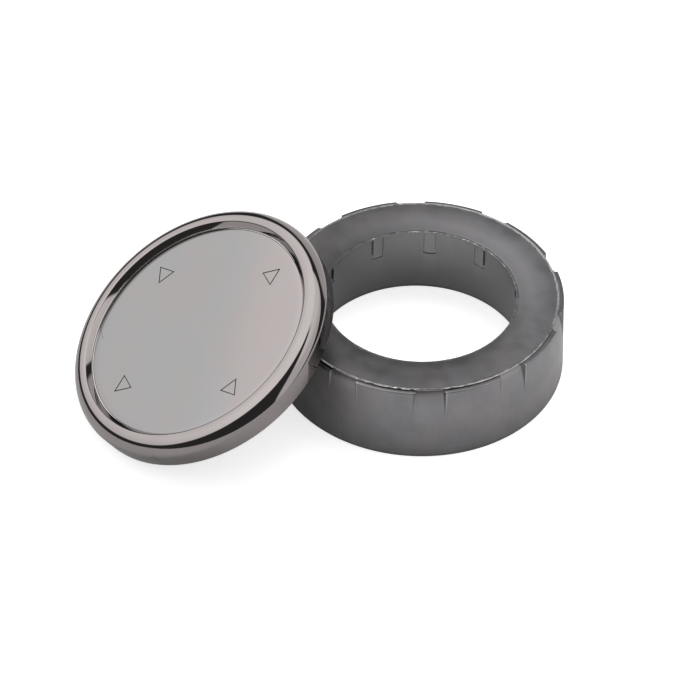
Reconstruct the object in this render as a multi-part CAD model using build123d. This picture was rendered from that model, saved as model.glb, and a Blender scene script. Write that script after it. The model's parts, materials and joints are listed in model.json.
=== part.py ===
"""Two-piece trim set for a rotary control knob.

A grip ring stands on its base, and the cap that plugs into the ring's mouth leans on the ring's edge.
Millimetres, +Z up. The origin is on the ring's axis, in the plane that the ring stands on.
The cap is drawn in a frame of its own, with z = 0 at the foot of its rim, +Z out of its face and
+X towards its raised side, and is then laid in place.
"""

from build123d import *
from math import atan2, cos, radians, sin, sqrt, tan
import os

# ---------------------------------------------------------------- grip ring
ring_radius = 25.0           # outer wall, at the foot
ring_height = 14.5
wall_draft = 0.35            # how much smaller the outer wall is at the top
foot_round = 0.3             # outer bottom edge
base_round = 0.2             # bottom edges at the channel

land_inset = 0.75            # from the top of the outer wall in to the land that the cap sits on
land_dish = 0.15             # hollow in the middle of the land
ledge_drop = 0.25            # the pads' top edge is this far below the land
ledge_round = 0.25           # rounding of the pads' top edge

bore_radius = 18.25          # below the lip, made for the knob
lip_overhang = 1.72          # how far the lip stands in from the bore
lip_thickness = 0.8
mouth_chamfer = 0.12

notch_count = 10
notch_angle = 13.0           # degrees that each notch covers
notch_phase = 23.0           # azimuth of one notch
notch_length = 6.5           # height over which a notch runs out

rib_count = 12               # centring ribs in the bore, under the lip
rib_phase = 25.4             # azimuth of one rib
rib_width = 1.75
rib_depth = 0.61             # how far the ribs stand in from the bore
rib_reach = 6.0              # from the land down to the ribs' rounded ends
rib_end_round = 0.5

inner_wall = 1.65            # the walls on either side of the hollow underside
outer_wall = 1.8
roof_thickness = 2.2
gusset_count = 10            # webs across the hollow underside
gusset_width = 1.2
gusset_recess = 1.0          # they stop this far above the base

# ---------------------------------------------------------------- cap
rim_overhang = 0.02          # the rim's foot stands this far past the ring's land
rim_flare = 0.28             # how much wider the side wall is at its top
rim_wall_height = 3.02       # where the side wall turns into the shoulder
rim_height = 5.57            # top of the bead
rim_wall = 1.5
rim_foot_round = 0.2
bead_width = 2.85            # from the side wall to where the bead drops to the face
bead_slope = 0.53            # how far in the bead's inner wall runs on its way down
bead_inner_round = 0.35

face_height = 4.3            # front of the face plate above the rim's foot
face_thickness = 1.05
face_chamfer = 0.12
face_gap = 0.12              # all round the plate
tape_thickness = 0.25
tape_margin = 0.8            # the tape is this much smaller than the plate

seat_recess = 0.1            # the flat round the face plate is this far below the face
seat_width = 0.45            # from the gap to the bead's inner wall

triangle_count = 4
triangle_side = 3.5
triangle_margin = 2.62       # from the plate's edge in to the outer corner
triangle_line = 0.16         # width of the engraved line
triangle_depth = 0.12
triangle_turn = 1.7          # degrees from the cap's uphill direction

carrier_thickness = 1.3
carrier_clearance = 0.12     # radial, inside the rim's wall
collar_clearance = 0.15      # radial, in the ring's mouth
collar_wall = 1.5
collar_depth = 4.4           # below the rim's foot
collar_lead = 0.4            # chamfer of the collar's free edge
web_count = 6                # stiffening webs between the collar and the rim's wall
web_width = 1.0
web_depth = 1.2
web_gap = 0.3                # between a web's end and the rim's wall

pad_gap = 1.08               # from the pad out to the collar
pad_thickness = 1.0
liner_thickness = 0.15
liner_tab_radius = 3.0
liner_tab_gap = 0.33         # from the tab out to the collar

# ---------------------------------------------------------------- where the cap lies
cap_tilt = 30.48             # degrees between the cap's face and the floor
uphill_azimuth = 22.5        # the way the cap's raised side points, towards the ring
cap_side_offset = 3.09       # sideways distance of the cap's centre from the ring's axis
lean_gap = 0.25              # left between the cap's collar and the ring's top edges

# ---------------------------------------------------------------- worked out from those
full_turn = 360
steps_per_degree = 8         # how finely the collar's edge is followed
overcut = 1.0                # how far a cutter runs past the surface that it cuts
bond = 0.3                   # how deep a rib or web runs into the wall that it grows from

triangle_corners = 3

wall_top_radius = ring_radius - wall_draft
land_radius = wall_top_radius - land_inset
ledge_height = ring_height - ledge_drop
mouth_radius = bore_radius - lip_overhang
rib_face_radius = bore_radius - rib_depth
channel_inner_radius = bore_radius + inner_wall
channel_outer_radius = ring_radius - outer_wall

rim_foot_radius = land_radius + rim_overhang
rim_radius = rim_foot_radius + rim_flare
rim_inner_radius = rim_radius - rim_wall
shoulder_radius = rim_height - rim_wall_height
bead_inner_radius = rim_radius - bead_width
bead_foot_radius = bead_inner_radius - bead_slope
seat_radius = bead_foot_radius - seat_width
face_radius = seat_radius - face_gap
triangle_apex_radius = face_radius - triangle_margin
carrier_top = face_height - face_thickness - tape_thickness
carrier_base = carrier_top - carrier_thickness
collar_radius = mouth_radius - collar_clearance
collar_inner_radius = collar_radius - collar_wall
pad_radius = collar_inner_radius - pad_gap

tilt = radians(cap_tilt)
uphill = radians(uphill_azimuth)


def turned(outline, rounds=()):
    """Revolve an outline of (radius, height) edges; rounds are (radius, height, size) corners."""
    section = make_face(outline)
    for radius, height, size in rounds:
        corner = section.vertices().sort_by_distance((radius, height))[0]
        section = fillet(corner, size)
    return revolve(Plane.XZ * section, Axis.Z)


def tube(outer_radius, inner_radius, low, high):
    """A plain ring-shaped wall between two heights."""
    height = high - low
    wall = Cylinder(outer_radius, height) - Cylinder(inner_radius, height)
    return Pos(0, 0, (low + high) / 2) * wall


def disc(radius, low, high):
    """A plain disc between two heights."""
    return Pos(0, 0, (low + high) / 2) * Cylinder(radius, high - low)


def radial_bar(inner_radius, outer_radius, width, low, high):
    """A straight bar along +X between two radii and two heights."""
    length = outer_radius - inner_radius
    bar = Box(length, width, high - low)
    return Pos((inner_radius + outer_radius) / 2, 0, (low + high) / 2) * bar


def around(piece, count, phase=0.0):
    """Copies of a piece, evenly spaced about +Z."""
    return [Rot(0, 0, phase + full_turn * step / count) * piece for step in range(count)]


def grip_ring():
    """The ring: land, lip, drafted outer wall, ribbed bore and hollow underside."""
    roof_underside = ring_height - roof_thickness
    lip_underside = ring_height - lip_thickness
    outline = Polyline(
        (mouth_radius, ring_height),
        (land_radius, ring_height),
        (land_radius, ledge_height),
        (wall_top_radius, ledge_height),
        (ring_radius, 0),
        (channel_outer_radius, 0),
        (channel_outer_radius, roof_underside),
        (channel_inner_radius, roof_underside),
        (channel_inner_radius, 0),
        (bore_radius, 0),
        (bore_radius, lip_underside),
        (mouth_radius, lip_underside),
        close=True,
    )
    rounds = [
        (wall_top_radius, ledge_height, ledge_round),
        (ring_radius, 0, foot_round),
        (channel_outer_radius, 0, base_round),
        (channel_inner_radius, 0, base_round),
        (mouth_radius, ring_height, mouth_chamfer),
    ]
    gusset = radial_bar(
        channel_inner_radius - bond,
        channel_outer_radius + bond,
        gusset_width,
        gusset_recess,
        roof_underside + bond,
    )
    ring = turned(outline, rounds)
    ring += around(gusset, gusset_count, notch_phase + full_turn / gusset_count / 2)
    ring += around(bore_rib(), rib_count, rib_phase)
    ring -= land_hollow()
    ring -= around(notch_cutter(), notch_count, notch_phase)
    return ring


def bore_rib():
    """One centring rib, hanging from the lip, with its lower corners rounded."""
    rib = radial_bar(
        rib_face_radius,
        bore_radius + bond,
        rib_width,
        ring_height - rib_reach,
        ring_height - lip_thickness + bond,
    )
    lower_corners = rib.edges().filter_by(Axis.X).group_by(Axis.Z)[0]
    return fillet(lower_corners, rib_end_round)


def land_hollow():
    """The shallow dish that is cut into the land."""
    inner = (mouth_radius + mouth_chamfer, ring_height)
    outer = (land_radius, ring_height)
    middle = ((inner[0] + outer[0]) / 2, ring_height - land_dish)
    above = [
        (outer[0], ring_height + overcut),
        (inner[0], ring_height + overcut),
    ]
    arc = ThreePointArc(inner, middle, outer)
    return turned([arc, Polyline(outer, *above, inner)])


def notch_cutter():
    """One shallow notch: full depth at the land, running out down the wall."""
    foot = ring_height - notch_length
    foot_radius = ring_radius - wall_draft * foot / ledge_height
    section = make_face(
        Polyline(
            (land_radius, ring_height),
            (land_radius, ring_height + overcut),
            (ring_radius + overcut, ring_height + overcut),
            (ring_radius + overcut, foot),
            (foot_radius, foot),
            close=True,
        )
    )
    cutter = revolve(Plane.XZ * section, Axis.Z, revolution_arc=notch_angle)
    return Rot(0, 0, -notch_angle / 2) * cutter


def bezel_ring():
    """The cap's rim: side wall, rounded shoulder, bead and the seat round the face plate."""
    wall = Line((rim_foot_radius, 0), (rim_radius, rim_wall_height))
    shoulder = CenterArc(
        (rim_radius - shoulder_radius, rim_wall_height), shoulder_radius, 0, full_turn / 4
    )
    inside = Polyline(
        (rim_radius - shoulder_radius, rim_height),
        (bead_inner_radius, rim_height),
        (bead_foot_radius, face_height - seat_recess),
        (seat_radius, face_height - seat_recess),
        (seat_radius, carrier_top),
        (rim_inner_radius, carrier_top),
        (rim_inner_radius, 0),
        (rim_foot_radius, 0),
    )
    rounds = [
        (bead_inner_radius, rim_height, bead_inner_round),
        (rim_inner_radius, 0, rim_foot_round),
        (rim_foot_radius, 0, rim_foot_round),
    ]
    return turned([wall, shoulder, inside], rounds)


def face_plate():
    """The mirror disc, with a chamfered edge and its engraved triangles."""
    plate = disc(face_radius, carrier_top + tape_thickness, face_height)
    front_edge = plate.edges().filter_by(GeomType.CIRCLE).sort_by(Axis.Z)[-1]
    plate = chamfer(front_edge, face_chamfer)
    return plate - around(triangle_cutter(), triangle_count, triangle_turn)


def triangle_cutter():
    """The engraved outline of one triangle that points away from the centre."""
    corner_radius = triangle_side / sqrt(3)
    inner_corner_radius = corner_radius - 2 * triangle_line
    outline = RegularPolygon(corner_radius, triangle_corners)
    outline -= RegularPolygon(inner_corner_radius, triangle_corners)
    floor = face_height - triangle_depth
    placed = Pos(triangle_apex_radius - corner_radius, 0, floor) * outline
    return extrude(placed, triangle_depth + overcut)


def face_plate_tape():
    """The tape that bonds the face plate to the carrier."""
    return disc(face_radius - tape_margin, carrier_top, carrier_top + tape_thickness)


def cap_carrier():
    """The cap's floor, with the collar that plugs into the ring's mouth."""
    carrier = disc(rim_inner_radius - carrier_clearance, carrier_base, carrier_top)
    collar = tube(collar_radius, collar_inner_radius, -collar_depth, carrier_base + bond)
    rims = collar.edges().filter_by(GeomType.CIRCLE).group_by(Axis.Z)[0]
    collar = chamfer(rims.sort_by(lambda edge: edge.radius)[-1], collar_lead)
    web = radial_bar(
        collar_radius - bond,
        rim_inner_radius - web_gap,
        web_width,
        carrier_base - web_depth,
        carrier_base + bond,
    )
    carrier += collar
    carrier += around(web, web_count)
    return carrier


def knob_pad():
    """The foam pad that sticks the cap to the knob."""
    return disc(pad_radius, carrier_base - pad_thickness, carrier_base)


def release_liner():
    """The film over the pad's adhesive, with its pull tab."""
    top = carrier_base - pad_thickness
    low = top - liner_thickness
    tab = disc(liner_tab_radius, low, top)
    tab_centre = collar_inner_radius - liner_tab_gap - liner_tab_radius
    return disc(pad_radius, low, top) + Pos(tab_centre, 0, 0) * tab


def cap_height():
    """Height of the cap frame's origin that puts the lowest part of its rim on the floor."""
    wall_slope = atan2(rim_radius - rim_foot_radius, rim_wall_height)
    corner = radians(full_turn / 4) + wall_slope
    round_centre = rim_foot_radius - rim_foot_round / tan(corner / 2)
    return round_centre * sin(tilt) + rim_foot_round * (1 - cos(tilt))


def lean_distance():
    """How far the cap frame's origin is from the ring's axis, against the uphill direction.

    The collar's free edge is followed all round. Each of its points that is lower than one of the
    ring's two top edges keeps the cap far enough out to clear that edge.
    """
    top_edges = [(wall_top_radius, ledge_height), (land_radius, ring_height)]
    distance = 0.0
    for step in range(full_turn * steps_per_degree):
        angle = radians(step / steps_per_degree)
        for radius in (collar_inner_radius, collar_radius - collar_lead):
            height = cap_height() + radius * cos(angle) * sin(tilt) - collar_depth * cos(tilt)
            along = radius * cos(angle) * cos(tilt) + collar_depth * sin(tilt)
            across = cap_side_offset + radius * sin(angle)
            for edge_radius, edge_height in top_edges:
                reach = edge_radius + lean_gap
                if height < edge_height + lean_gap and abs(across) < reach:
                    distance = max(distance, along + sqrt(reach**2 - across**2))
    return distance


def cap_place():
    """Where the cap frame lies beside the ring."""
    distance = lean_distance()
    origin = (
        -distance * cos(uphill) - cap_side_offset * sin(uphill),
        -distance * sin(uphill) + cap_side_offset * cos(uphill),
        cap_height(),
    )
    along_face = (cos(uphill) * cos(tilt), sin(uphill) * cos(tilt), sin(tilt))
    out_of_face = (-cos(uphill) * sin(tilt), -sin(uphill) * sin(tilt), cos(tilt))
    return Location(Plane(origin, x_dir=along_face, z_dir=out_of_face))


def main():
    """Make every piece where it lies and write one STEP file for each."""
    place = cap_place()
    pieces = {
        "grip_ring": grip_ring(),
        "bezel_ring": place * bezel_ring(),
        "face_plate": place * face_plate(),
        "face_plate_tape": place * face_plate_tape(),
        "cap_carrier": place * cap_carrier(),
        "knob_pad": place * knob_pad(),
        "release_liner": place * release_liner(),
    }
    os.makedirs("parts", exist_ok=True)
    for name, piece in pieces.items():
        export_step(piece, f"parts/{name}.step")
    print("cap frame", place)


main()
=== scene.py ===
"""Two-piece trim set for a rotary knob: a polished cap leaning on a plated grip ring.

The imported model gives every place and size. Each operator models one piece in its own upright
frame, in metres, and lays it where the model has it.
"""

import json
from math import atan2, cos, pi, radians, sin, sqrt, tan

import bmesh
import bpy
from bpy.props import FloatProperty, FloatVectorProperty, IntProperty, PointerProperty
from mathutils import Euler, Matrix, Vector


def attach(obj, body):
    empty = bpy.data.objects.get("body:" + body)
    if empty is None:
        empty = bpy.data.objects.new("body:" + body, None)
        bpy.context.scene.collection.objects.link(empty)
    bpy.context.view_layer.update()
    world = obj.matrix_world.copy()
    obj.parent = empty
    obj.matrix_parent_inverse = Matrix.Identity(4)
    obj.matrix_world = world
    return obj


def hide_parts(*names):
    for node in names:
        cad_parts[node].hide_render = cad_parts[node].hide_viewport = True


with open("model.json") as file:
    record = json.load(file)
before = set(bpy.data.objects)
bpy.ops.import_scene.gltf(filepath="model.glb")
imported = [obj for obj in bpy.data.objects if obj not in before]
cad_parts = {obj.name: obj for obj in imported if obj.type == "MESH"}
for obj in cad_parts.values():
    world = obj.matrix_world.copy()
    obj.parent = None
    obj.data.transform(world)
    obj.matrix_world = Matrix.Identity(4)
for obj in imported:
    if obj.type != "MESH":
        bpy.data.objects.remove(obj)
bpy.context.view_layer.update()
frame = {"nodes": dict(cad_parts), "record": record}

bl_info = {
    "name": "Knob Trim Set",
    "version": (1, 0, 0),
    "blender": (4, 5, 0),
    "location": "View3D > Sidebar > Knob Trim",
    "description": "A grip ring and the polished cap that leans on it",
    "category": "Object",
}

MM = 0.001
FULL_TURN = 2 * pi
UPRIGHT = Matrix.Identity(4)
SAME_POINT = 1e-7  # metres, under which two points are one
SAME_LEVEL = 1e-6  # metres, under which two heights are one
FIRST_NOTCH, FIRST_RIB, FIRST_GUSSET, FIRST_TRIANGLE = 23.0, 25.4, 41.0, 1.7  # degrees round +Z
NOISE_LOW, NOISE_HIGH = 0.3, 0.7  # between these lies nearly all of the noise
WHITE = (1, 1, 1, 1)


# ---------------------------------------------------------------- sizes and colours
def length(name, description, millimetres):
    """A length property that is given in millimetres and held in metres."""
    return FloatProperty(
        name=name, description=description, default=millimetres * MM, unit="LENGTH", precision=5
    )


def colour(name, description, value):
    """A linear colour property."""
    return FloatVectorProperty(
        name=name, description=description, default=value, subtype="COLOR", size=3, min=0, max=1
    )


class RingSizes(bpy.types.PropertyGroup):
    """Sizes of the grip ring."""

    radius: length("Radius", "Outer wall at the foot", 25.0)
    height: length("Height", "From the foot to the land", 14.5)
    wall_top: length("Wall top", "Outer wall's radius at the pads' top edge", 24.65)
    land: length("Land", "Outer radius of the land", 23.9)
    dish: length("Dish", "Fall of the land towards the mouth", 0.33)
    ledge: length("Ledge", "The pads' top edge is this far below the land", 0.25)
    groove: length("Groove", "Depth of the groove between the land and the pads", 0.29)
    flash: length("Flash", "Height of the moulding flash on the land's edges", 0.09)
    mouth: length("Mouth", "Radius of the hole through the lip", 16.53)
    lip: length("Lip", "Thickness of the lip", 0.8)
    bore: length("Bore", "Radius of the bore at the foot", 18.25)
    bore_top: length("Bore top", "Radius of the bore under the lip", 17.87)
    channel_inner: length("Channel inner", "Inner radius of the hollow underside", 19.9)
    channel_outer: length("Channel outer", "Outer radius of the hollow underside", 23.2)
    roof: length("Roof", "Thickness above the hollow underside", 2.2)
    notch_length: length("Notch length", "Height over which a notch runs out", 6.5)
    rib_face: length("Rib face", "Radius of the ribs' inner faces", 17.64)
    rib_width: length("Rib width", "Width of one centring rib", 1.75)
    rib_reach: length("Rib reach", "From the land down to the ribs' ends", 6.0)
    notches: IntProperty(name="Notches", description="Notches in the outer wall", default=10)
    ribs: IntProperty(name="Ribs", description="Centring ribs in the bore", default=12)
    gussets: IntProperty(name="Gussets", description="Gussets in the hollow underside", default=10)
    columns: IntProperty(name="Columns", description="Faces round the ring", default=720)


class CapSizes(bpy.types.PropertyGroup):
    """Sizes of the cap."""

    rim_foot: length("Rim foot", "Radius of the side wall's foot", 23.92)
    rim: length("Rim", "Largest radius", 24.2)
    rim_wall_height: length("Wall height", "Where the wall turns into the shoulder", 3.02)
    rim_height: length("Rim height", "Top of the bead", 5.57)
    rim_wall: length("Rim wall", "Thickness of the side wall", 1.5)
    bead_top: length("Bead top", "Radius of the bead's highest line", 21.65)
    bead_inner: length("Bead inner", "Radius where the bead's flat top ends", 21.34)
    bead_round: length("Bead round", "Radius that turns the bead into its bevel", 0.42)
    bevel_foot: length("Bevel foot", "Inner radius of the bead's bevel", 20.35)
    seat: length("Seat", "Radius of the hole the face plate sits in", 20.28)
    face: length("Face", "Radius of the face plate", 20.25)
    face_height: length("Face height", "Front of the face plate", 4.3)
    face_thickness: length("Face thickness", "Thickness of the face plate", 1.05)
    tape_thickness: length("Tape thickness", "Tape under the face plate", 0.25)
    floor_thickness: length("Floor thickness", "Thickness of the cap's floor", 1.3)
    floor_radius: length("Floor radius", "Radius of the cap's floor", 22.58)
    collar: length("Collar", "Outer radius of the collar", 16.38)
    collar_wall: length("Collar wall", "Thickness of the collar", 1.5)
    collar_depth: length("Collar depth", "How far the collar reaches below the rim", 4.4)
    pad: length("Pad", "Radius of the foam pad", 13.8)
    pad_thickness: length("Pad thickness", "Thickness of the foam pad", 1.0)
    liner_thickness: length("Liner thickness", "Thickness of the release liner", 0.15)
    webs: IntProperty(name="Webs", description="Webs between the collar and the rim", default=6)
    triangles: IntProperty(name="Triangles", description="Triangles engraved on the face", default=4)
    triangle_side: length("Triangle side", "Side of one engraved triangle", 3.5)
    triangle_apex: length("Triangle apex", "Radius of a triangle's outer corner", 17.63)
    triangle_line: length("Triangle line", "Width of the engraved line", 0.19)
    columns: IntProperty(name="Columns", description="Faces round the cap", default=512)


class Finishes(bpy.types.PropertyGroup):
    """Colours of the finishes."""

    grey_plating: colour("Grey plating", "Satin plating of the ring", (0.252, 0.247, 0.254))
    grey_plating_dark: colour("Grey shade", "Thinner places in it", (0.212, 0.208, 0.216))
    # Colour of the worn flash, also used for painted highlights on the ring's edges.
    worn_edge_and_highlight: colour("Worn edge", "Rubbed flash on the ring's edges", (0.50, 0.49, 0.48))
    chrome: colour("Black chrome", "Polished rim", (0.250, 0.228, 0.224))
    # The face plate's edge colour is lighter than its centre colour as a painted reflection.
    mirror_centre: colour("Mirror centre", "Face plate at its centre", (0.226, 0.224, 0.227))
    mirror_edge: colour("Mirror edge", "Face plate towards its edge", (0.266, 0.250, 0.252))
    moulding: colour("Moulding", "Black plastic", (0.022, 0.022, 0.024))
    foam: colour("Foam", "Closed-cell foam", (0.05, 0.05, 0.055))
    tape: colour("Tape", "Adhesive tape", (0.10, 0.10, 0.10))
    liner: colour("Liner", "Waxed release paper", (0.80, 0.77, 0.66))


class StageSizes(bpy.types.PropertyGroup):
    """The floor, lamp and camera."""

    floor: length("Floor", "Side of the floor", 4000.0)
    floor_front: length("Floor front", "How far the floor reaches forwards", 98.0)
    floor_left: length("Floor left", "How far the floor reaches to the left", 170.0)
    lamp: length("Lamp", "Side of the square lamp", 700.0)
    lamp_power: FloatProperty(name="Lamp power", description="Power in watts", default=4.2)
    lens: FloatProperty(name="Lens", description="Focal length in millimetres", default=252.0)


# ---------------------------------------------------------------- modelling by hand
def begin():
    """Back to object mode with nothing selected."""
    if bpy.context.object is not None and bpy.context.object.mode != "OBJECT":
        bpy.ops.object.mode_set(mode="OBJECT")
    bpy.ops.object.select_all(action="DESELECT")


def take(piece):
    """Object mode with one piece selected and active."""
    begin()
    piece.select_set(True)
    bpy.context.view_layer.objects.active = piece


def edit(piece):
    """Edit mode on one piece, with all of it selected."""
    take(piece)
    bpy.ops.object.mode_set(mode="EDIT")
    bpy.ops.mesh.select_mode(type="VERT")
    bpy.ops.mesh.select_all(action="SELECT")


def pick(kind, test):
    """Select the edited piece's vertices, edges or faces that pass a test: a vertex by its place."""
    mesh = bmesh.from_edit_mesh(bpy.context.object.data)
    bpy.ops.mesh.select_mode(type=kind)
    bpy.ops.mesh.select_all(action="DESELECT")
    parts = {"VERT": mesh.verts, "EDGE": mesh.edges, "FACE": mesh.faces}[kind]
    for part in parts:
        part.select = test(part.co if kind == "VERT" else part)
    mesh.select_flush_mode()
    bmesh.update_edit_mesh(bpy.context.object.data)


def draw(name, points, closed=True):
    """A wire outline in the XZ plane, extruded from its first point to its last."""
    begin()
    bpy.ops.mesh.primitive_plane_add(size=MM, location=(points[0][0], 0, points[0][1]))
    piece = bpy.context.object
    piece.name = name
    bpy.ops.object.transform_apply(location=True)
    edit(piece)
    bpy.ops.mesh.merge(type="CENTER")
    for before, after in zip(points, points[1:]):
        step = (after[0] - before[0], 0, after[1] - before[1])
        bpy.ops.mesh.extrude_vertices_move(TRANSFORM_OT_translate={"value": step})
    if closed:
        ends = [Vector((p[0], 0, p[1])) for p in (points[0], points[-1])]
        pick("VERT", lambda place: min((place - end).length for end in ends) < SAME_POINT)
        bpy.ops.mesh.edge_face_add()
    return piece


def round_corner(place, size, segments):
    """Round the outline's corner at a (radius, height) place."""
    corner = Vector((place[0], 0, place[1]))
    pick("VERT", lambda at: (at - corner).length < SAME_POINT)
    bpy.ops.mesh.bevel(offset=size, segments=segments, affect="VERTICES")


def turn(piece, columns):
    """Screw the outline once round +Z and close its seam."""
    take(piece)
    modifier = piece.modifiers.new("Turn", "SCREW")
    modifier.angle = FULL_TURN
    modifier.steps = columns
    modifier.render_steps = columns
    modifier.use_merge_vertices = True
    modifier.merge_threshold = SAME_POINT
    bpy.ops.object.modifier_apply(modifier=modifier.name)
    edit(piece)
    bpy.ops.mesh.remove_doubles(threshold=SAME_POINT)
    bpy.ops.mesh.normals_make_consistent(inside=False)


def around(piece, count, phase):
    """Turned copies of a piece, each with its own mesh, joined into one piece in its stead."""
    begin()
    copies = []
    for step in range(count):
        copy = piece.copy()
        copy.data = piece.data.copy()
        copy.data.transform(Matrix.Rotation(radians(phase + 360 * step / count), 4, "Z"))
        bpy.context.collection.objects.link(copy)
        copies.append(copy)
    bpy.data.objects.remove(piece)
    for copy in copies:
        copy.select_set(True)
    bpy.context.view_layer.objects.active = copies[0]
    bpy.ops.object.join()
    return copies[0]


def bar(name, inner, outer, width, low, high, edge=0.0):
    """A straight bar along +X, with its edges rounded if an edge is given."""
    begin()
    bpy.ops.mesh.primitive_cube_add(size=1)
    piece = bpy.context.object
    piece.name = name
    edit(piece)
    bpy.ops.transform.resize(value=(outer - inner, width, high - low))
    bpy.ops.transform.translate(value=((inner + outer) / 2, 0, (low + high) / 2))
    if edge:
        bpy.ops.mesh.bevel(offset=edge, segments=2, affect="EDGES")
    begin()
    return piece


def combine(piece, other, operation):
    """Unite a piece with another, cut the other out of it, or keep what the two share."""
    take(piece)
    modifier = piece.modifiers.new(operation.title(), "BOOLEAN")
    modifier.operation = operation
    modifier.object = other
    modifier.solver = "MANIFOLD"
    bpy.ops.object.modifier_apply(modifier=modifier.name)
    bpy.data.objects.remove(other)


def smooth(piece, angle=32):
    """Smooth shading that stays sharp past an angle in degrees."""
    take(piece)
    bpy.ops.object.shade_smooth_by_angle(angle=radians(angle))


def hand_over(piece, node, body, place, finish):
    """Lay a finished piece in the model's place of the node that it stands for."""
    begin()
    piece.data.transform(place)
    piece.data.update()
    piece.data.materials.clear()
    piece.data.materials.append(finish)
    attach(piece, body)
    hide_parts(node)


def cap_levels():
    """Heights in the cap: under its plate, under the tape, under the floor and under the pad."""
    sizes = bpy.context.scene.cap_sizes
    plate = sizes.face_height - sizes.face_thickness
    tape = plate - sizes.tape_thickness
    floor = tape - sizes.floor_thickness
    return plate, tape, floor, floor - sizes.pad_thickness


def cap_place():
    """The cap's own frame, found from the model's mount on the liner under it."""
    liner_base = cap_levels()[-1] - bpy.context.scene.cap_sizes.liner_thickness
    mount = next(m for m in frame["record"]["mounts"] if m["name"] == "cap_pad_face")
    out = -Vector(mount["axis"]).normalized()
    origin = Vector(mount["pos_m"]) - out * liner_base
    uphill = (Vector((0, 0, 1)) - out * out.z).normalized()
    axes = Matrix((uphill, out.cross(uphill), out)).transposed()
    return Matrix.Translation(origin) @ axes.to_4x4()


# ---------------------------------------------------------------- finishes
def scaled(colour, share):
    """A colour with every part times a share."""
    return tuple(share * value for value in colour)


class Nodes:
    """One tree of nodes and short ways to add to it."""

    def __init__(self, tree, coordinates):
        self.nodes = tree.nodes
        self.links = tree.links
        self.place = self.nodes.new("ShaderNodeTexCoord").outputs[coordinates]

    def add(self, kind, inputs=None, **settings):
        """A node with its settings, whose inputs are linked to other nodes or hold a value."""
        node = self.nodes.new("ShaderNode" + kind)
        for name, value in settings.items():
            setattr(node, name, value)
        for socket, value in (inputs or {}).items():
            if hasattr(value, "is_output"):
                self.links.new(value, node.inputs[socket])
            elif value is not None:
                node.inputs[socket].default_value = value
        return node

    def noise(self, size, detail=2.0, roughness=0.5, place=None):
        """Smooth noise whose grains are about a size in metres."""
        inputs = {"Scale": 1 / size, "Detail": detail, "Roughness": roughness, "Vector": place or self.place}
        return self.add("TexNoise", inputs).outputs["Fac"]

    def ramp(self, value, low, high, start=0.0, end=1.0, eased=True):
        """A value between low and high, brought to start and end."""
        inputs = {"Value": value, "From Min": low, "From Max": high, "To Min": start, "To Max": end}
        kind = "SMOOTHSTEP" if eased else "LINEAR"
        return self.add("MapRange", inputs, interpolation_type=kind).outputs["Result"]

    def cloud(self, noise, start=0.0, end=1.0):
        """All of a noise, brought to start and end."""
        return self.ramp(noise, NOISE_LOW, NOISE_HIGH, start, end)

    def maths(self, operation, first, second=None):
        """One sum on one or two values."""
        return self.add("Math", {0: first, 1: second}, operation=operation).outputs["Value"]

    def times(self, value, *others):
        """The product of some values."""
        for other in others:
            value = self.maths("MULTIPLY", value, other)
        return value

    def mix(self, factor, first, second):
        """A colour between two colours."""
        first, second = (c if hasattr(c, "is_output") else (*c, 1) for c in (first, second))
        return self.add("Mix", {"Factor": factor, 6: first, 7: second}, data_type="RGBA").outputs[2]

    def vectors(self, operation, first, second, output):
        """One sum on two vectors."""
        return self.add("VectorMath", {0: first, 1: second}, operation=operation).outputs[output]

    def tinted(self, colour, tint):
        """A colour times a tint."""
        return self.vectors("MULTIPLY", colour, tint, "Vector")

    def away(self, point):
        """The distance from a point."""
        return self.vectors("DISTANCE", self.place, point, "Value")

    def along(self, axis):
        """How far a place lies along an axis."""
        return self.vectors("DOT_PRODUCT", self.place, axis, "Value")

    def parts(self):
        """The x, y and z of a place."""
        return self.add("SeparateXYZ", {0: self.place}).outputs

    def stretched(self, scale, place=None):
        """Places scaled along each axis, for streaks."""
        return self.add("Mapping", {"Scale": scale, "Vector": place or self.place}).outputs["Vector"]

    def unrolled(self, radius):
        """The way round at a radius, the distance from +Z, the height, and the three as one vector."""
        x, y, z = self.parts()
        arc = self.times(self.maths("ARCTAN2", y, x), radius)
        out = self.maths("SQRT", self.maths("ADD", self.times(x, x), self.times(y, y)))
        return arc, out, z, self.add("CombineXYZ", {0: arc, 1: out, 2: z}).outputs["Vector"]

    def bump(self, height, distance, strength=1.0, before=None):
        """A bump that stands a distance high where the value is one, on top of an earlier bump."""
        inputs = {"Distance": distance, "Strength": strength, "Height": height, "Normal": before}
        return self.add("Bump", inputs).outputs["Normal"]


class Finish(Nodes):
    """A new material, its shader and the patterns that feed it."""

    def __init__(self, name, **constants):
        self.material = bpy.data.materials.new(name)
        self.material.use_nodes = True
        super().__init__(self.material.node_tree, "Object")
        self.shader = self.nodes["Principled BSDF"]
        for socket, value in constants.items():
            self.shader.inputs[socket.replace("_", " ")].default_value = value

    def local(self, matrix):
        """Reads places in a piece's own frame from here on."""
        inputs = {
            "Location": matrix.to_translation(),
            "Rotation": matrix.to_euler("XYZ"),
            "Vector": self.place,
        }
        self.place = self.add("Mapping", inputs, vector_type="TEXTURE").outputs["Vector"]

    def feed(self, socket, value):
        """Lead a value to the shader."""
        self.links.new(value, self.shader.inputs[socket])


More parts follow.
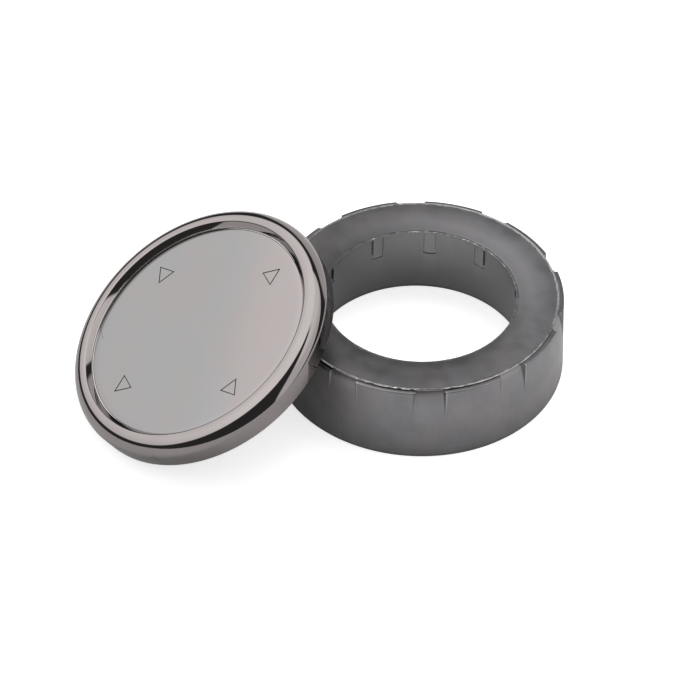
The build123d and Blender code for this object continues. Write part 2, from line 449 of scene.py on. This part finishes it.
def grey_plating():
    """Satin dark plating over a moulded ring: cloudy and faintly streaked, with painted light and shade on
    the land, bore and outer wall, and bright where the flash is worn and where a highlight is painted on it.
    """
    colours = bpy.context.scene.finishes
    sizes = bpy.context.scene.ring_sizes
    finish = Finish("grey_plating", Metallic=1.0)
    arc, radius, height, unrolled = finish.unrolled(sizes.land)
    land = finish.ramp(height, sizes.height - 0.6 * MM, sizes.height - 0.3 * MM)
    outside = finish.ramp(radius, sizes.land + 0.2 * MM, sizes.land + 0.4 * MM)
    streak = finish.cloud(finish.noise(0.5 * MM, place=finish.stretched((1, 0.1, 0.1), unrolled)))
    plating = grey_clouds(finish, streak)
    plating = painted_light_and_shade(finish, plating, radius, height, land, outside)
    upper_wall = finish.times(finish.ramp(height, 9.5 * MM, 13 * MM), outside)
    plating = pad_edges(finish, plating, arc, upper_wall)
    # Worn flash with a painted highlight on it, and painted glints on the mouth's edge.
    wear_and_glint_mask = flash_wear_and_glints(finish, radius, height)
    finish.feed("Base Color", finish.mix(wear_and_glint_mask, plating, colours.worn_edge_and_highlight))
    rough = finish.cloud(finish.noise(3 * MM, detail=3.0), 0.31, 0.36)
    finish.feed("Roughness", finish.maths("SUBTRACT", rough, finish.times(land, 0.025)))
    wave = finish.bump(finish.noise(5 * MM), 0.03 * MM, 0.5)
    finish.feed("Normal", finish.bump(streak, 0.003 * MM, 0.5, wave))
    return finish.material


def grey_clouds(finish, streak):
    """The plating's uneven grey, a little warmer in broad patches."""
    colours = bpy.context.scene.finishes
    cloud = finish.ramp(finish.noise(5 * MM, detail=3.0, roughness=0.55), 0.32, 0.68)
    shade = finish.maths("ADD", finish.times(cloud, 0.75), finish.times(streak, 0.25))
    plating = finish.mix(shade, colours.grey_plating_dark, colours.grey_plating)
    patches = finish.noise(11 * MM, detail=1.0, place=finish.stretched((1.3, 0.8, 1)))
    warm = finish.ramp(patches, 0.45, 0.7, 0.0, 0.5)
    warmer = tuple(value * tint for value, tint in zip(colours.grey_plating, (1.06, 0.99, 0.95)))
    return finish.mix(warm, plating, warmer)


def painted_light_and_shade(finish, plating, radius, height, land, outside):
    """Painted light and shade on the plating: the land darker towards the mouth, the bore lighter, the land
    and bore lighter to the right, the outer wall darker towards its foot, and a painted shadow along the
    foot.
    """
    grey = bpy.context.scene.finishes.grey_plating
    sizes = bpy.context.scene.ring_sizes
    # Painted shade: the land darker all over, most towards the mouth.
    inwards = finish.ramp(radius, sizes.mouth, sizes.mouth + 3 * MM, 0.95, 0.42)
    plating = finish.mix(finish.times(land, inwards), plating, scaled(grey, 0.58))
    # Painted light: the bore is lighter than the rest of the plating.
    bore = finish.ramp(radius, sizes.bore + 0.3 * MM, sizes.bore + 0.5 * MM, 1.0, 0.0)
    bore = finish.times(bore, finish.maths("SUBTRACT", 1.0, land))
    plating = finish.mix(bore, plating, scaled(grey, 1.2))
    # Painted light and shade: the land and bore lighter towards the right and darker towards the left.
    lighter_side = (0.985, -0.174, 0)
    side = finish.ramp(finish.along(lighter_side), -20 * MM, 20 * MM, eased=False)
    darker, lighter, low = (finish.tinted(plating, (share,) * 3) for share in (0.79, 1.15, 0.90))
    # Painted shade: the outer wall darker towards its foot.
    wall = finish.mix(finish.ramp(height, 0.0, 11 * MM, 1.0, 0.0), plating, low)
    plating = finish.mix(outside, finish.mix(side, darker, lighter), wall)
    # Painted shadow: a dark band along the foot where the ring meets the floor.
    foot = finish.ramp(height, 0.2 * MM, 0.9 * MM, 0.5, 0.0)
    return finish.mix(foot, plating, finish.tinted(plating, (0.4, 0.4, 0.4)))


def pad_edges(finish, plating, arc, upper_wall):
    """A fine line of painted shade and a line of painted highlight down both edges of every notch."""
    sizes = bpy.context.scene.ring_sizes
    pitch = FULL_TURN * sizes.land / sizes.notches
    first = sizes.land * radians(FIRST_NOTCH)
    half_notch = 2.62 * MM
    # Painted shade as the dark line, then a painted highlight as the light line, along each notch edge.
    black = (0.06, 0.06, 0.06)
    for shift, tone in ((-0.02 * MM, black), (0.16 * MM, bpy.context.scene.finishes.worn_edge_and_highlight)):
        edge = finish.maths("PINGPONG", finish.maths("SUBTRACT", arc, first + shift), pitch / 2)
        edge = finish.maths("ABSOLUTE", finish.maths("SUBTRACT", edge, half_notch))
        line = finish.ramp(edge, 0.04 * MM, 0.15 * MM, 0.5, 0.0)
        plating = finish.mix(finish.times(upper_wall, line), plating, tone)
    return plating


def flash_wear_and_glints(finish, radius, height):
    """Where the flash is worn and lit by a painted highlight: the land's outer edge, most at the front, and
    specks of painted glint on the mouth's edge at the back.
    """
    sizes = bpy.context.scene.ring_sizes
    depth = finish.parts()["Y"]
    rim = finish.ramp(radius, sizes.land - 0.5 * MM, sizes.land - 0.32 * MM)
    rim = finish.times(rim, finish.ramp(height, sizes.height - 0.2 * MM, sizes.height))
    rubbed_and_highlit = finish.ramp(finish.noise(1.6 * MM, detail=4.0, roughness=0.7), 0.38, 0.60, 0.22, 0.9)
    rubbed_and_highlit = finish.times(rubbed_and_highlit, finish.ramp(depth, -17 * MM, -2 * MM, 1.0, 0.1))
    mouth = finish.ramp(radius, sizes.mouth + 0.12 * MM, sizes.mouth + 0.25 * MM, 1.0, 0.0)
    mouth = finish.times(mouth, finish.ramp(height, sizes.height - 0.7 * MM, sizes.height - 0.3 * MM))
    # Painted glints: bright specks on the mouth's edge at the back.
    specks = finish.ramp(finish.noise(0.7 * MM, detail=1.0), 0.56, 0.70, 0.03, 0.7)
    specks = finish.times(specks, finish.ramp(depth, 4 * MM, 10 * MM))
    return finish.maths("MAXIMUM", finish.times(rim, rubbed_and_highlit), finish.times(mouth, specks))


def black_chrome():
    """Polished black chrome on a moulded rim: it wavers a little and is lightly handled, and the short wall
    round the face plate is painted lighter as a highlight.
    """
    chrome = bpy.context.scene.finishes.chrome
    foot = bpy.context.scene.cap_sizes.bevel_foot
    finish = Finish("black_chrome", Metallic=1.0)
    finish.local(cap_place())
    haze = finish.noise(6 * MM, detail=3.0)
    plating = finish.mix(finish.cloud(haze), chrome, scaled(chrome, 1.05))
    x, _, z = finish.parts()
    waver = finish.cloud(finish.noise(1.2 * MM), -0.25 * MM, 0.25 * MM)
    across_scuff = (0.719, -0.695, 0)
    across = finish.maths("ADD", finish.along(across_scuff), waver)
    scuff = finish.ramp(finish.maths("ABSOLUTE", across), 0.05 * MM, 0.22 * MM, 0.6, 0.0)
    scuff = finish.times(
        scuff,
        finish.ramp(z, 0.2 * MM, 0.8 * MM),
        finish.ramp(z, 3.2 * MM, 4.3 * MM, 1.0, 0.0),
        finish.maths("LESS_THAN", x, 0.0),
    )
    radius = finish.unrolled(foot)[1]
    # Painted highlight: the short wall round the face plate is lighter.
    short_wall = finish.ramp(radius, foot + 0.01 * MM, foot + 0.08 * MM, 1.0, 0.0)
    plating = finish.mix(short_wall, plating, (0.62, 0.6, 0.59))
    finish.feed("Base Color", finish.mix(scuff, plating, (0.07, 0.06, 0.06)))
    finish.feed("Roughness", finish.ramp(haze, 0.35, 0.75, 0.03, 0.075))
    finish.feed("Normal", finish.bump(finish.noise(4.0 * MM, detail=1.0), 0.012 * MM, 0.5))
    return finish.material


def mirror_plate():
    """The face plate's mirror finish, cooler and darker at its centre than at one edge as a painted
    reflection, with one hair scratch.
    """
    colours = bpy.context.scene.finishes
    sizes = bpy.context.scene.cap_sizes
    finish = Finish("mirror_plate", Metallic=1.0)
    finish.local(cap_place())
    # Painted reflection: the plate lighter and warmer towards one edge than at its centre.
    warm_side = (0.8, -0.6, 0)
    edge = finish.ramp(finish.along(warm_side), 1 * MM, 17 * MM)
    plate = finish.mix(edge, colours.mirror_centre, colours.mirror_edge)
    cloud = finish.ramp(finish.noise(8 * MM, detail=3.0), 0.35, 0.65)
    plate = finish.mix(cloud, plate, finish.tinted(plate, (1.03, 0.985, 0.965)))
    hair = finish.maths("SUBTRACT", finish.away((-9.1 * MM, 11.4 * MM, sizes.face_height)), 6 * MM)
    hair = finish.ramp(finish.maths("ABSOLUTE", hair), 0.03 * MM, 0.12 * MM, 0.55, 0.0)
    hair_middle = finish.away((-14.9 * MM, 12.4 * MM, sizes.face_height))
    near = finish.ramp(hair_middle, 0.9 * MM, 1.6 * MM, 1.0, 0.0)
    plate = finish.mix(finish.times(hair, near), plate, (0.10, 0.10, 0.10))
    _, radius, height, _ = finish.unrolled(sizes.face)
    engraved = finish.times(
        finish.ramp(height, sizes.face_height - 0.05 * MM, sizes.face_height - 0.01 * MM, 1.0, 0.0),
        finish.ramp(radius, sizes.face - 0.6 * MM, sizes.face - 0.5 * MM, 1.0, 0.0),
    )
    finish.feed("Base Color", finish.mix(engraved, plate, (0.075, 0.075, 0.075)))
    finish.feed("Roughness", finish.ramp(finish.noise(5 * MM, detail=4.0), 0.3, 0.75, 0.05, 0.10))
    return finish.material


def black_moulding():
    """Black plastic with a fine spark-eroded grain."""
    moulding = bpy.context.scene.finishes.moulding
    finish = Finish("black_moulding")
    cloud = finish.cloud(finish.noise(4 * MM, detail=3.0))
    finish.feed("Base Color", finish.mix(cloud, moulding, scaled(moulding, 1.5)))
    finish.feed("Roughness", finish.cloud(finish.noise(0.8 * MM), 0.42, 0.58))
    finish.feed("Normal", finish.bump(finish.noise(0.12 * MM), 0.01 * MM, 0.6))
    return finish.material


def foam_cells():
    """Closed-cell foam."""
    foam = bpy.context.scene.finishes.foam
    finish = Finish("foam_cells", Roughness=0.85)
    cells = finish.add("TexVoronoi", {"Scale": 1 / (0.22 * MM), "Vector": finish.place}).outputs["Distance"]
    finish.feed("Base Color", finish.mix(finish.ramp(cells, 0.1, 0.6), foam, scaled(foam, 1.9)))
    finish.feed("Normal", finish.bump(cells, 0.05 * MM, 0.7))
    return finish.material


def waxed_paper():
    """Waxed release paper, with fibres."""
    liner = bpy.context.scene.finishes.liner
    finish = Finish("waxed_paper")
    fibres = finish.noise(0.5 * MM, detail=4.0, place=finish.stretched((1, 5, 1)))
    finish.feed("Base Color", finish.mix(finish.cloud(fibres), scaled(liner, 0.88), liner))
    finish.feed("Roughness", finish.cloud(finish.noise(3 * MM), 0.28, 0.42))
    finish.feed("Normal", finish.bump(fibres, 0.01 * MM, 0.5))
    return finish.material


def adhesive_tape():
    """Grey adhesive tape, a little uneven."""
    tape = bpy.context.scene.finishes.tape
    finish = Finish("adhesive_tape", Roughness=0.6)
    cloud = finish.cloud(finish.noise(0.6 * MM, detail=3.0))
    finish.feed("Base Color", finish.mix(cloud, tape, scaled(tape, 1.3)))
    return finish.material


# ---------------------------------------------------------------- pieces
class KNOBTRIM_OT_grip_ring(bpy.types.Operator):
    """Model the plated grip ring"""

    bl_idname = "knobtrim.grip_ring"
    bl_label = "Grip Ring"

    def execute(self, context):
        sizes = context.scene.ring_sizes
        lip = sizes.height - sizes.lip
        ledge = sizes.height - sizes.ledge
        ring = draw("ring_moulding", self.land(sizes) + self.pads(sizes) + self.underside(sizes))
        round_corner((sizes.wall_top, ledge), 0.14 * MM, 5)
        round_corner((sizes.wall_top - 0.56 * MM, ledge), 0.08 * MM, 3)
        round_corner((sizes.radius, 0), 0.3 * MM, 6)
        round_corner((sizes.channel_outer, 0), 0.2 * MM, 4)
        round_corner((sizes.channel_inner, 0), 0.2 * MM, 4)
        round_corner((sizes.bore, 0), 0.1 * MM, 3)
        round_corner((sizes.mouth, lip), 0.08 * MM, 3)
        turn(ring, sizes.columns)
        self.roughen_flash(ring, sizes)
        self.sink_notches(ring, sizes)
        self.hang_ribs(ring, sizes, lip)
        self.add_gussets(ring, sizes)
        smooth(ring)
        hand_over(ring, "grip_ring", "ring", UPRIGHT, grey_plating())
        return {"FINISHED"}

    def wall(self, sizes, height):
        """The outer wall's radius at a height."""
        ledge = sizes.height - sizes.ledge
        return sizes.radius - (sizes.radius - sizes.wall_top) / ledge * height

    def land(self, sizes):
        """The land from the mouth outwards, with the flash that stands on its two edges."""
        top = sizes.height
        low = top - sizes.dish
        width = sizes.land - sizes.mouth
        steps = 28
        level_from = 0.86  # share of the land's width
        burr = ((0.0, 0.0), (0.12 * MM, 0.03 * MM), (0.26 * MM, 0.0))
        outline = [(sizes.mouth + out, low + up) for out, up in burr]
        for step in range(2, steps - 1):
            share = step / steps
            fall = max(0.0, 1 - share / level_from)
            sunk = sizes.dish * fall * fall * (1.5 - 0.5 * fall)
            outline.append((sizes.mouth + width * share, top - sunk))
        flash = ((0.36, 0.02), (0.26, 0.7), (0.15, 1.0), (0.05, 0.8), (-0.02, 0.1), (0.0, -1.5))
        return outline + [(sizes.land - back * MM, top + sizes.flash * share) for back, share in flash]

    def pads(self, sizes):
        """The groove outside the land, then the outer wall down to the foot."""
        ledge = sizes.height - sizes.ledge
        groove = sizes.height - sizes.groove
        outline = [(sizes.land, groove), (sizes.wall_top - 0.58 * MM, groove)]
        outline += [(sizes.wall_top - 0.56 * MM, ledge), (sizes.wall_top, ledge)]
        heights = (13 * MM, 11 * MM, 9.5 * MM, sizes.height - sizes.notch_length, 5 * MM, 2 * MM)
        return outline + [(self.wall(sizes, height), height) for height in heights] + [(sizes.radius, 0)]

    def underside(self, sizes):
        """The hollow underside, the bore and the lip."""
        roof = sizes.height - sizes.roof
        lip = sizes.height - sizes.lip
        outline = [(sizes.channel_outer, 0), (sizes.channel_outer, roof)]
        outline += [(sizes.channel_inner, roof), (sizes.channel_inner, 0)]
        return outline + [(sizes.bore, 0), (sizes.bore_top, lip), (sizes.mouth, lip)]

    def roughen_flash(self, ring, sizes):
        """Make the flash on the land's two edges ragged, most on the outer one at the front left."""
        low = sizes.height - sizes.dish
        begin()
        group = ring.vertex_groups.new(name="flash")
        for vertex in ring.data.vertices:
            x, y, z = vertex.co
            radius = Vector((x, y)).length
            outer = z > sizes.height + 0.01 * MM and radius > sizes.land - 0.4 * MM
            inner = z > low - 0.01 * MM and radius < sizes.mouth + 0.2 * MM
            front = z > sizes.height and x < 9 * MM and (x - y > 6 * MM or y < -14 * MM)
            if outer or inner:
                group.add([vertex.index], 1.0 if front else 0.35, "REPLACE")
        texture = bpy.data.textures.new("ragged", "CLOUDS")
        texture.noise_scale = 0.9 * MM
        texture.noise_depth = 3
        texture.contrast = 1.6
        take(ring)
        modifier = ring.modifiers.new("Ragged", "DISPLACE")
        modifier.texture = texture
        modifier.vertex_group = "flash"
        modifier.direction = "Z"
        modifier.strength = 2.2 * sizes.flash
        bpy.ops.object.modifier_apply(modifier=modifier.name)
        ring.vertex_groups.clear()

    def sink_notches(self, ring, sizes):
        """Cut shallow notches into the outer wall, each running out downwards."""
        top = sizes.height
        foot = top - sizes.notch_length
        start = sizes.land - 0.1 * MM
        depth = self.wall(sizes, top) - start
        over, outside = top + MM, sizes.radius + MM
        outline = [(start - 0.3 * MM, over)]
        run_out = ((0.0, 1.0), (0.07, 0.80), (0.18, 0.58), (0.36, 0.34), (0.6, 0.15), (0.8, 0.05))
        for down, share in run_out:
            height = top - (top - foot) * down
            outline.append((self.wall(sizes, height) - depth * share, height))
        outline += [(self.wall(sizes, foot) + 0.02 * MM, foot), (outside, foot), (outside, over)]
        cutter = draw("notch_cutter", outline)
        turn(cutter, sizes.columns)
        inner, outer = sizes.land - MM, sizes.radius + 2 * MM
        inner_width, widening = 3.7 * MM, 2.03
        sector = bar("sector", inner, outer, inner_width, foot - 2 * MM, top + 2 * MM)
        edit(sector)
        pick("VERT", lambda place: place.x > sizes.radius)
        bpy.ops.transform.resize(value=(1, widening, 1), center_override=(0, 0, 0))
        combine(cutter, around(sector, sizes.notches, FIRST_NOTCH), "INTERSECT")
        combine(ring, cutter, "DIFFERENCE")

    def hang_ribs(self, ring, sizes, lip):
        """Hang the ribs under the lip, each with a fine gap round it."""
        foot = sizes.height - sizes.rib_reach
        side_gap, foot_gap, overlap = 0.25 * MM, 0.6 * MM, 0.3 * MM

        def add(name, inner, outer, width, low, high, operation):
            piece = bar(name, inner, outer, width, low, high)
            self.round_foot(piece, low)
            combine(ring, around(piece, sizes.ribs, FIRST_RIB), operation)

        add("gap", sizes.rib_face - 0.6 * MM, sizes.bore - 0.1 * MM, sizes.rib_width + 2 * side_gap,
            foot - foot_gap, lip, "DIFFERENCE")
        add("rib", sizes.rib_face, sizes.bore + overlap, sizes.rib_width, foot, lip + overlap, "UNION")

    def round_foot(self, piece, low):
        """Round the two lower corners of a rib's face."""
        edit(piece)
        pick("EDGE", lambda e: all(abs(v.co.z - low) < SAME_LEVEL for v in e.verts)
             and abs(e.verts[0].co.y - e.verts[1].co.y) < SAME_LEVEL)
        bpy.ops.mesh.bevel(offset=0.5 * MM, segments=5, affect="EDGES")
        begin()

    def add_gussets(self, ring, sizes):
        """Join the two walls of the hollow underside."""
        overlap = 0.3 * MM
        roof = sizes.height - sizes.roof
        gusset = bar("gusset", sizes.channel_inner - overlap, sizes.channel_outer + overlap, 1.2 * MM,
                     1.0 * MM, roof + overlap)
        combine(ring, around(gusset, sizes.gussets, FIRST_GUSSET), "UNION")


class KNOBTRIM_OT_bezel(bpy.types.Operator):
    """Model the cap's polished rim"""

    bl_idname = "knobtrim.bezel"
    bl_label = "Rim"

    def execute(self, context):
        sizes = context.scene.cap_sizes
        under = cap_levels()[1]
        seat = sizes.face_height - 0.08 * MM
        inner = sizes.rim - sizes.rim_wall
        shoulder = sizes.rim_height - sizes.rim_wall_height
        shoulder_steps, bead_steps = 40, 14
        lean = radians(50)
        outline = [(sizes.rim_foot, 0), (sizes.rim, sizes.rim_wall_height)]
        for step in range(1, shoulder_steps + 1):
            angle = pi / 2 * step / shoulder_steps
            outline.append((
                sizes.bead_top + (sizes.rim - sizes.bead_top) * cos(angle),
                sizes.rim_wall_height + shoulder * sin(angle),
            ))
        for step in range(bead_steps + 1):
            angle = lean * step / bead_steps
            outline.append((
                sizes.bead_inner - sizes.bead_round * sin(angle),
                sizes.rim_height - sizes.bead_round * (1 - cos(angle)),
            ))
        bevel_run = outline[-1][0] - sizes.bevel_foot
        bevel_foot = (sizes.bevel_foot, outline[-1][1] - bevel_run * tan(lean))
        outline += [bevel_foot, (sizes.bevel_foot, seat), (sizes.seat, seat)]
        outline += [(sizes.seat, under), (inner, under), (inner, 0)]
        bezel = draw("cap_bezel", outline)
        round_corner(bevel_foot, 0.06 * MM, 3)
        round_corner((inner, 0), 0.2 * MM, 4)
        round_corner((sizes.rim_foot, 0), 0.2 * MM, 6)
        turn(bezel, sizes.columns)
        smooth(bezel)
        hand_over(bezel, "bezel_ring", "cap", cap_place(), black_chrome())
        return {"FINISHED"}


class KNOBTRIM_OT_face(bpy.types.Operator):
    """Model the face plate with its engraved triangles"""

    bl_idname = "knobtrim.face"
    bl_label = "Face Plate"

    def execute(self, context):
        sizes = context.scene.cap_sizes
        back = cap_levels()[0]
        begin()
        bpy.ops.mesh.primitive_cylinder_add(
            vertices=sizes.columns, radius=sizes.face, depth=sizes.face_thickness,
            location=(0, 0, (back + sizes.face_height) / 2),
        )
        plate = bpy.context.object
        plate.name = "cap_face"
        bpy.ops.object.transform_apply(location=True)
        edit(plate)
        pick("EDGE", lambda e: all(abs(v.co.z - sizes.face_height) < SAME_LEVEL for v in e.verts))
        bpy.ops.mesh.bevel(offset=0.12 * MM, segments=4, affect="EDGES")
        half_plate = pi * sizes.face ** 2 / 2
        pick("FACE", lambda f: f.normal.z > 0.99 and f.calc_area() > half_plate)
        bpy.ops.mesh.inset(thickness=1.2 * MM)
        combine(plate, around(self.groove(sizes), sizes.triangles, FIRST_TRIANGLE), "DIFFERENCE")
        smooth(plate, 25)
        hand_over(plate, "face_plate", "cap", cap_place(), mirror_plate())
        return {"FINISHED"}

    def groove(self, sizes):
        """A cutter for one triangle's engraved line."""
        corner = sizes.triangle_side / sqrt(3)
        line_depth = 0.12 * MM
        begin()
        bpy.ops.mesh.primitive_circle_add(vertices=3, radius=corner, fill_type="NGON")
        groove = bpy.context.object
        groove.name = "groove"
        outer = max((vertex.co for vertex in groove.data.vertices), key=lambda place: place.x)
        turned = -atan2(outer.y, outer.x)
        edit(groove)
        bpy.ops.mesh.select_mode(type="FACE")
        bpy.ops.mesh.select_all(action="SELECT")
        bpy.ops.mesh.inset(thickness=sizes.triangle_line)
        bpy.ops.mesh.delete(type="FACE")
        bpy.ops.mesh.select_all(action="SELECT")
        bpy.ops.mesh.extrude_region_move(TRANSFORM_OT_translate={"value": (0, 0, MM)})
        bpy.ops.mesh.select_all(action="SELECT")
        bpy.ops.mesh.normals_make_consistent(inside=False)
        begin()
        place = (sizes.triangle_apex - corner, 0, sizes.face_height - line_depth)
        groove.data.transform(Matrix.Translation(place) @ Matrix.Rotation(turned, 4, "Z"))
        return groove


class KNOBTRIM_OT_floor(bpy.types.Operator):
    """Model the cap's floor with its collar and webs"""

    bl_idname = "knobtrim.cap_floor"
    bl_label = "Cap Floor"

    def execute(self, context):
        sizes = context.scene.cap_sizes
        _, top, base, _ = cap_levels()
        inner = sizes.collar - sizes.collar_wall
        rim_inside = sizes.rim - sizes.rim_wall
        overlap, web_drop = 0.3 * MM, 1.2 * MM
        outline = [(0, top), (sizes.floor_radius, top), (sizes.floor_radius, base)]
        outline += [(sizes.collar, base), (sizes.collar, -sizes.collar_depth)]
        outline += [(inner, -sizes.collar_depth), (inner, base), (0, base)]
        carrier = draw("cap_floor", outline, closed=False)
        round_corner((sizes.floor_radius, base), 0.1 * MM, 3)
        round_corner((sizes.collar, -sizes.collar_depth), 0.4 * MM, 4)
        round_corner((inner, -sizes.collar_depth), 0.15 * MM, 3)
        round_corner((inner, base), 0.2 * MM, 3)
        turn(carrier, sizes.columns // 2)
        web = bar("web", sizes.collar - overlap, rim_inside - overlap, 1.0 * MM,
                  base - web_drop, base + overlap, edge=0.08 * MM)
        combine(carrier, around(web, sizes.webs, 0.0), "UNION")
        smooth(carrier)
        hand_over(carrier, "cap_carrier", "cap", cap_place(), black_moulding())
        return {"FINISHED"}


class KNOBTRIM_OT_backing(bpy.types.Operator):
    """Model the foam pad and its release liner, and finish the tape"""

    bl_idname = "knobtrim.backing"
    bl_label = "Pad and Liner"

    def execute(self, context):
        sizes = context.scene.cap_sizes
        _, _, base, low = cap_levels()
        tab_radius, tab_centre = 3.0 * MM, 11.55 * MM
        outline = [(0, base), (sizes.pad, base), (sizes.pad, low), (0, low)]
        pad = draw("foam_disc", outline, closed=False)
        turn(pad, sizes.columns // 4)
        smooth(pad)
        hand_over(pad, "knob_pad", "cap", cap_place(), foam_cells())
        liner = self.film("release_film", sizes, low, sizes.pad, sides=192)
        tab = self.film("tab", sizes, low, tab_radius, sides=96, centre=tab_centre)
        combine(liner, tab, "UNION")
        smooth(liner)
        hand_over(liner, "release_liner", "cap", cap_place(), waxed_paper())
        tape = frame["nodes"]["face_plate_tape"]
        tape.data.materials[0] = adhesive_tape()
        return {"FINISHED"}

    def film(self, name, sizes, top, radius, sides, centre=0):
        """A disc of the liner's thickness under the pad, centred on +X."""
        begin()
        bpy.ops.mesh.primitive_cylinder_add(vertices=sides, radius=radius, depth=sizes.liner_thickness)
        disc = bpy.context.object
        disc.name = name
        disc.data.transform(Matrix.Translation((centre, 0, top - sizes.liner_thickness / 2)))
        return disc


# ---------------------------------------------------------------- stage
class KNOBTRIM_OT_stage(bpy.types.Operator):
    """Set the floor, the light and the camera"""

    bl_idname = "knobtrim.stage"
    bl_label = "Stage"

    def execute(self, context):
        context.scene.view_settings.view_transform = "Standard"
        self.floor(context)
        self.surroundings(context)
        self.lamp(context)
        self.camera(context)
        return {"FINISHED"}

    def floor(self, context):
        """White paper that ends a little way in front of the object and to its left."""
        stage = context.scene.stage_sizes
        begin()
        bpy.ops.mesh.primitive_plane_add(
            size=stage.floor,
            location=(stage.floor / 2 - stage.floor_left, stage.floor / 2 - stage.floor_front, 0),
        )
        floor = context.object
        floor.name = "studio_floor"
        floor.data.materials.append(self.paper())

    def camera(self, context):
        """A long lens in front of the object and above it."""
        data = bpy.data.cameras.new("camera")
        data.lens = context.scene.stage_sizes.lens
        data.clip_start = 0.01
        camera = bpy.data.objects.new("camera", data)
        camera.location = (0, -0.62185, 0.57556)
        camera.rotation_euler = Euler([radians(turn) for turn in (47.26690, -0.75070, 1.78159)])
        context.collection.objects.link(camera)
        context.scene.camera = camera

    def lamp(self, context):
        """A large soft lamp above and behind, which faces the object and isn't mirrored in it."""
        stage = context.scene.stage_sizes
        data = bpy.data.lights.new("window", "AREA")
        data.size = stage.lamp
        data.energy = stage.lamp_power
        lamp = bpy.data.objects.new("window", data)
        lamp.location = (0.08, 0.36, 0.9)
        lamp.rotation_euler = (-lamp.location).to_track_quat("-Z", "Y").to_euler()
        context.collection.objects.link(lamp)
        lamp.visible_glossy = False

    def paper(self):
        """White paper that keeps the object's shadow."""
        paper = Finish("studio_paper", Roughness=0.9, Base_Color=(0.90, 0.90, 0.90, 1))
        paper.shader.inputs["Emission Color"].default_value = WHITE
        path = paper.add("LightPath").outputs
        mirrored = paper.maths("MAXIMUM", path["Is Glossy Ray"], path["Is Transmission Ray"])
        seen = paper.times(path["Is Camera Ray"], 0.66)
        paper.feed("Emission Strength", paper.maths("MAXIMUM", seen, paper.times(mirrored, 0.02)))
        return paper.material

    def surroundings(self, context):
        """A white room, in which metal mirrors a softbox overhead, a card at the right and a dark side."""
        world = context.scene.world or bpy.data.worlds.new("room")
        context.scene.world = world
        world.use_nodes = True
        world.node_tree.nodes.clear()
        room = Nodes(world.node_tree, "Generated")
        _, depth, height = room.parts()
        softbox = room.times(
            room.ramp(room.along((-0.604, 0.124, 0.787)), 0.64, 0.72),
            room.ramp(height, 0.19, 0.26),
            room.ramp(height, 0.2, 0.9, 1.5, 2.15),
        )
        right = room.ramp(room.along((0.952, 0.229, 0.205)), 0.47, 0.53)
        card = room.times(
            room.maths("MAXIMUM", right, room.ramp(depth, -0.05, 0.12)),
            room.ramp(room.along((0.099, -0.613, 0.784)), 0.26, 0.31),
            room.ramp(height, 0.55, 0.90, 1.30, 1.80),
        )
        wall = room.ramp(room.along((0.421, 0.901, 0.104)), 0.83, 0.88, 0.065, 1.0)
        mirrored = room.maths("MAXIMUM", room.maths("MAXIMUM", softbox, card), wall)
        glossy, plain, white = (
            room.add("Background", {"Color": WHITE, "Strength": strength}).outputs[0]
            for strength in (mirrored, 0.68, 1.0)
        )
        path = room.add("LightPath").outputs
        seen = room.maths("MAXIMUM", path["Is Camera Ray"], path["Is Transmission Ray"])
        lit = room.add("MixShader", {0: path["Is Glossy Ray"], 1: plain, 2: glossy}).outputs[0]
        lit = room.add("MixShader", {0: seen, 1: lit, 2: white}).outputs[0]
        room.add("OutputWorld", {"Surface": lit})


class KNOBTRIM_PT_panel(bpy.types.Panel):
    """Lists the pieces"""

    bl_label = "Knob Trim Set"
    bl_idname = "KNOBTRIM_PT_panel"
    bl_space_type = "VIEW_3D"
    bl_region_type = "UI"
    bl_category = "Knob Trim"

    def draw(self, context):
        for operator in OPERATORS:
            self.layout.operator(operator.bl_idname)
        for group in GROUPS:
            for name in group.__annotations__:
                self.layout.prop(getattr(context.scene, GROUPS[group]), name)


GROUPS = {
    RingSizes: "ring_sizes",
    CapSizes: "cap_sizes",
    Finishes: "finishes",
    StageSizes: "stage_sizes",
}
OPERATORS = (
    KNOBTRIM_OT_grip_ring,
    KNOBTRIM_OT_bezel,
    KNOBTRIM_OT_face,
    KNOBTRIM_OT_floor,
    KNOBTRIM_OT_backing,
    KNOBTRIM_OT_stage,
)


def register():
    """Make the properties, operators and panel known."""
    for group, name in GROUPS.items():
        bpy.utils.register_class(group)
        setattr(bpy.types.Scene, name, PointerProperty(type=group))
    for operator in OPERATORS:
        bpy.utils.register_class(operator)
    bpy.utils.register_class(KNOBTRIM_PT_panel)


def unregister():
    """Take them away again."""
    bpy.utils.unregister_class(KNOBTRIM_PT_panel)
    for operator in reversed(OPERATORS):
        bpy.utils.unregister_class(operator)
    for group, name in GROUPS.items():
        delattr(bpy.types.Scene, name)
        bpy.utils.unregister_class(group)


def main():
    """Set the stage and make every piece."""
    register()
    bpy.ops.knobtrim.stage()
    bpy.ops.knobtrim.grip_ring()
    bpy.ops.knobtrim.bezel()
    bpy.ops.knobtrim.face()
    bpy.ops.knobtrim.cap_floor()
    bpy.ops.knobtrim.backing()


if __name__ == "__main__":
    main()
